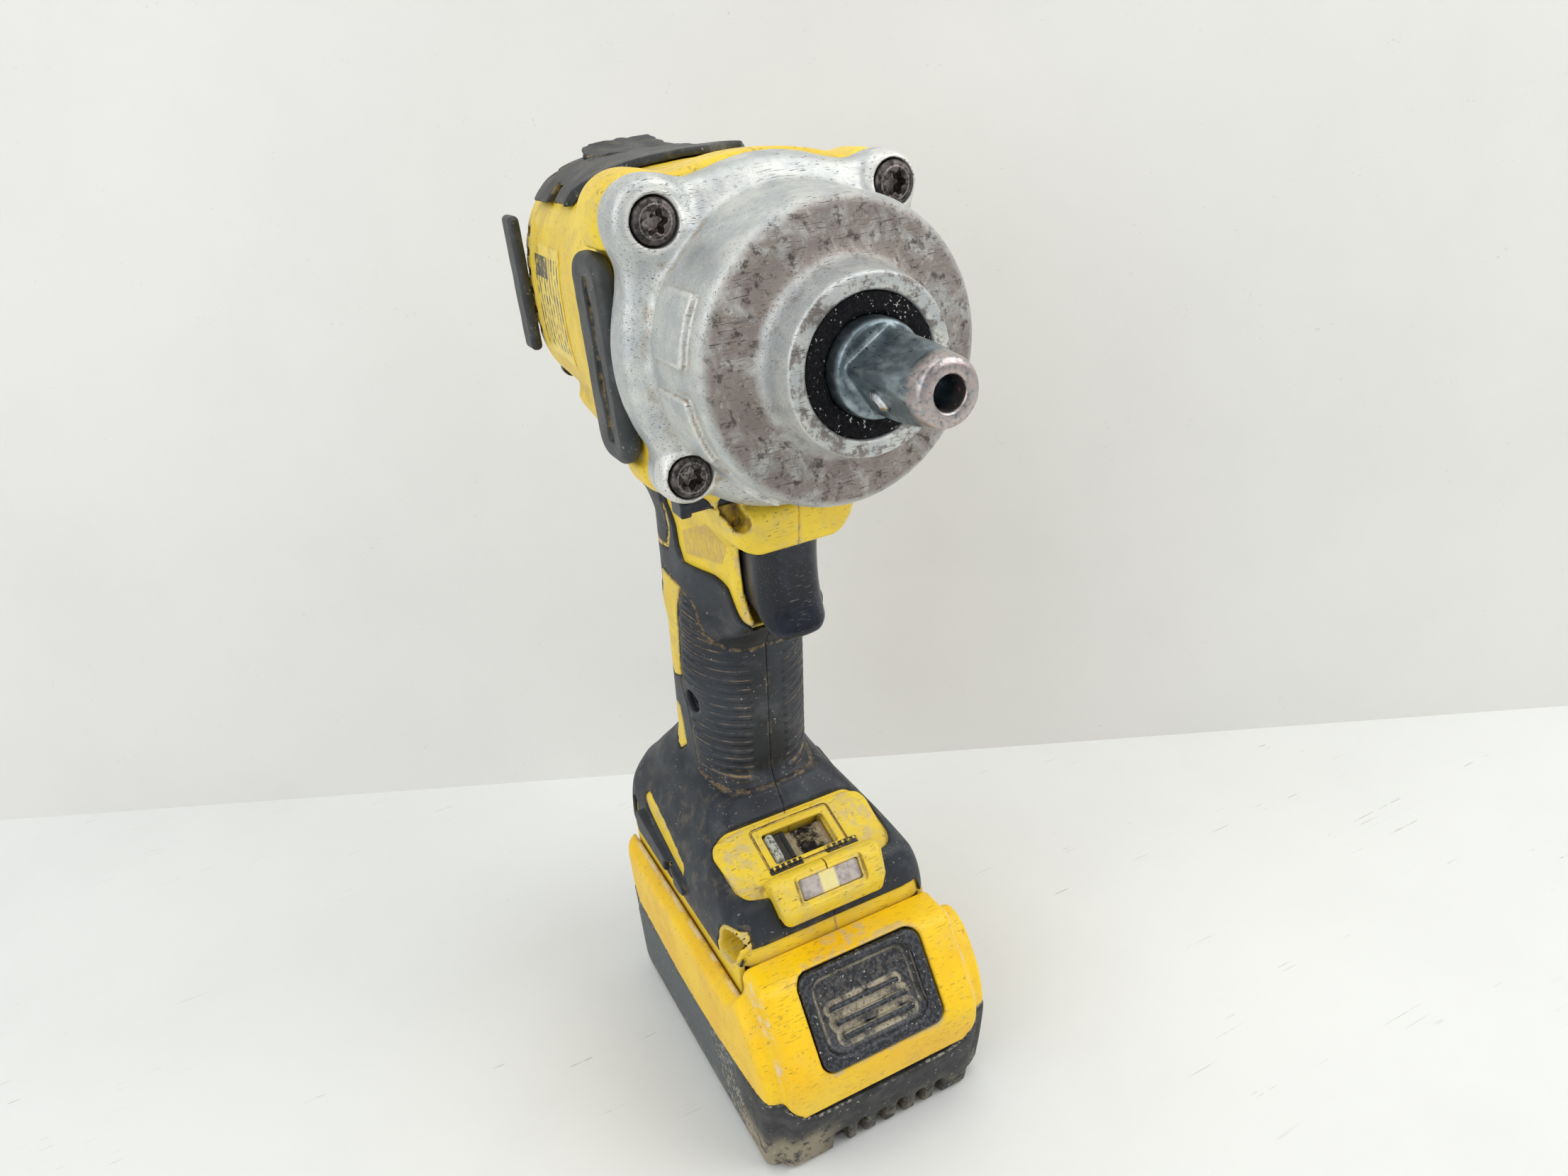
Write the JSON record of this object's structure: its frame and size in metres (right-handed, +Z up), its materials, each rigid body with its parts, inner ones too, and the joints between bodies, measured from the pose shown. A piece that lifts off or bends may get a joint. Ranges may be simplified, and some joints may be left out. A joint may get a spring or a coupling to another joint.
{
  "type": "impact wrench",
  "caption": "Pistol-grip cordless impact wrench with a half-inch square drive, hammer mechanism, brushless motor and slide-on battery pack.",
  "frame": {"origin": "on the flat underside of the battery pack, on the centre plane, 37 mm in front of the pack's rear face", "axes": "+X forward along the drive, +Y to the tool's left, +Z up"},
  "size_m": [0.176, 0.0782, 0.2785],
  "materials": {
    "housing_yellow": "worn glass-filled nylon, moulded texture",
    "pack_yellow": "moulded, scuffed",
    "soft_rubber": "semi-matte overmoulded rubber, dusty",
    "hard_black": "polished by use",
    "black_plastic": "moulded",
    "cast_aluminium": "die cast, satin, grimy",
    "drive_steel": "hardened, worn bright at the edges",
    "gear_steel": "machined, lightly oiled",
    "screw_steel": "blackened, rusting",
    "bearing_steel": "ground and polished",
    "spring_steel": "oil tempered",
    "bronze": "sintered bronze",
    "brass": "plated brass",
    "felt": "oil-soaked felt",
    "lamination": "stacked lamination steel",
    "copper_wire": "enamelled copper",
    "magnet": "nickel-plated magnet",
    "circuit_board": "solder-masked board",
    "lens": "cloudy polycarbonate",
    "label": "printed film",
    "wire_red": "silicone insulation",
    "cell_wrap": "shrink wrap",
    "potting": "potted electronics"
  },
  "bodies": {
    "tool_body": {"housing_right": "housing_yellow", "housing_left": "housing_yellow", "grip_rubber_right": "soft_rubber", "grip_rubber_left": "soft_rubber", "barrel_rubber": "soft_rubber", "front_bumpers": "soft_rubber", "rear_cap": "housing_yellow", "rear_bumpers": "soft_rubber", "rear_cap_screws": "screw_steel", "nose_case": "cast_aluminium", "nose_screws": "screw_steel", "case_screws": "screw_steel", "anvil_bush": "bronze", "felt_washer": "felt", "ring_gear": "gear_steel", "gear_mount_plate": "cast_aluminium", "stator_core": "lamination", "stator_windings": "copper_wire", "motor_board": "circuit_board", "bearing_outer_rings": "bearing_steel", "switch_module": "black_plastic", "trigger_spring": "spring_steel", "control_module": "potting", "motor_leads": "wire_red", "led_lens": "lens", "mode_panel": "housing_yellow", "terminal_block": "black_plastic", "tool_terminals": "brass", "belt_hook_insert": "brass", "rating_label": "label"},
    "spindle": {"spindle": "gear_steel", "planet_pins": "gear_steel", "cam_balls": "bearing_steel", "spindle_bearing_inner_ring": "bearing_steel", "hammer_spring": "spring_steel"},
    "rotor": {"rotor_shaft": "gear_steel", "rotor_core": "lamination", "rotor_magnets": "magnet", "cooling_fan": "black_plastic", "rotor_bearing_inner_rings": "bearing_steel"},
    "planet_1": {"planet_gear_1": "gear_steel"},
    "planet_2": {"planet_gear_2": "gear_steel"},
    "planet_3": {"planet_gear_3": "gear_steel"},
    "hammer": {"hammer": "gear_steel"},
    "anvil": {"anvil": "drive_steel"},
    "detent_pin": {"detent_pin": "bearing_steel"},
    "rotor_ball_set": {"rotor_bearing_balls": "bearing_steel"},
    "spindle_ball_set": {"spindle_bearing_balls": "bearing_steel"},
    "trigger": {"trigger": "hard_black"},
    "direction_lever": {"direction_lever": "hard_black"},
    "mode_slider": {"mode_slider": "hard_black"},
    "battery_pack": {"battery_top_shell": "pack_yellow", "battery_base_shell": "black_plastic", "battery_screws": "screw_steel", "battery_cells": "cell_wrap", "cell_holder": "black_plastic", "battery_board": "circuit_board", "battery_terminals": "brass", "latch_springs": "spring_steel"},
    "latch_button": {"latch_button": "hard_black"}
  },
  "joints": [
    {"name": "spindle_spin", "type": "hinge", "parent": "tool_body", "child": "spindle", "pos_m": [0.05, 0, 0.239], "axis": [1, 0, 0], "continuous": true},
    {"name": "rotor_spin", "type": "hinge", "parent": "tool_body", "child": "rotor", "pos_m": [-0.016, 0, 0.239], "axis": [1, 0, 0], "continuous": true},
    {"name": "planet_1_spin", "type": "hinge", "parent": "spindle", "child": "planet_1", "pos_m": [0.0327, 0, 0.22662], "axis": [1, 0, 0], "continuous": true},
    {"name": "planet_2_spin", "type": "hinge", "parent": "spindle", "child": "planet_2", "pos_m": [0.0327, 0.01072, 0.24519], "axis": [1, 0, 0], "continuous": true},
    {"name": "planet_3_spin", "type": "hinge", "parent": "spindle", "child": "planet_3", "pos_m": [0.0327, -0.01072, 0.24519], "axis": [1, 0, 0], "continuous": true},
    {"name": "anvil_spin", "type": "hinge", "parent": "tool_body", "child": "anvil", "pos_m": [0.09, 0, 0.239], "axis": [1, 0, 0], "continuous": true},
    {"name": "rotor_balls_spin", "type": "hinge", "parent": "tool_body", "child": "rotor_ball_set", "pos_m": [0.0172, 0, 0.239], "axis": [1, 0, 0], "continuous": true},
    {"name": "spindle_balls_spin", "type": "hinge", "parent": "tool_body", "child": "spindle_ball_set", "pos_m": [0.023, 0, 0.239], "axis": [1, 0, 0], "continuous": true},
    {"name": "hammer_slide", "type": "slide", "parent": "spindle", "child": "hammer", "axis": [-1, 0, 0], "range_m": [0, 0.008], "stiffness_N_per_m": 4000, "springref_m": -0.004, "deforming": ["hammer_spring"]},
    {"name": "detent_press", "type": "slide", "parent": "anvil", "child": "detent_pin", "axis": [0, 0.8572, 0.515], "range_m": [0, 0.0012]},
    {"name": "trigger_pull", "type": "slide", "parent": "tool_body", "child": "trigger", "axis": [-1, 0, 0], "range_m": [0, 0.006], "stiffness_N_per_m": 900, "springref_m": -0.004, "deforming": ["trigger_spring"]},
    {"name": "direction_shift", "type": "slide", "parent": "tool_body", "child": "direction_lever", "axis": [0, 1, 0], "range_m": [0, 0.006]},
    {"name": "mode_shift", "type": "slide", "parent": "tool_body", "child": "mode_slider", "axis": [0, 1, 0], "range_m": [0, 0.0132]},
    {"name": "battery_slide", "type": "slide", "parent": "tool_body", "child": "battery_pack", "axis": [1, 0, 0], "range_m": [0, 0.12]},
    {"name": "latch_press", "type": "slide", "parent": "battery_pack", "child": "latch_button", "axis": [-0.8536, 0, -0.521], "range_m": [0, 0.003], "deforming": ["latch_springs"]}
  ],
  "couplings": [
    {"joint": "rotor_spin", "follows": "spindle_spin", "ratio": 5.5},
    {"joint": "planet_1_spin", "follows": "spindle_spin", "ratio": -2.5714},
    {"joint": "planet_2_spin", "follows": "spindle_spin", "ratio": -2.5714},
    {"joint": "planet_3_spin", "follows": "spindle_spin", "ratio": -2.5714},
    {"joint": "anvil_spin", "follows": "spindle_spin", "ratio": 1},
    {"joint": "rotor_balls_spin", "follows": "spindle_spin", "ratio": 2},
    {"joint": "spindle_balls_spin", "follows": "spindle_spin", "ratio": 0.44074}
  ]
}
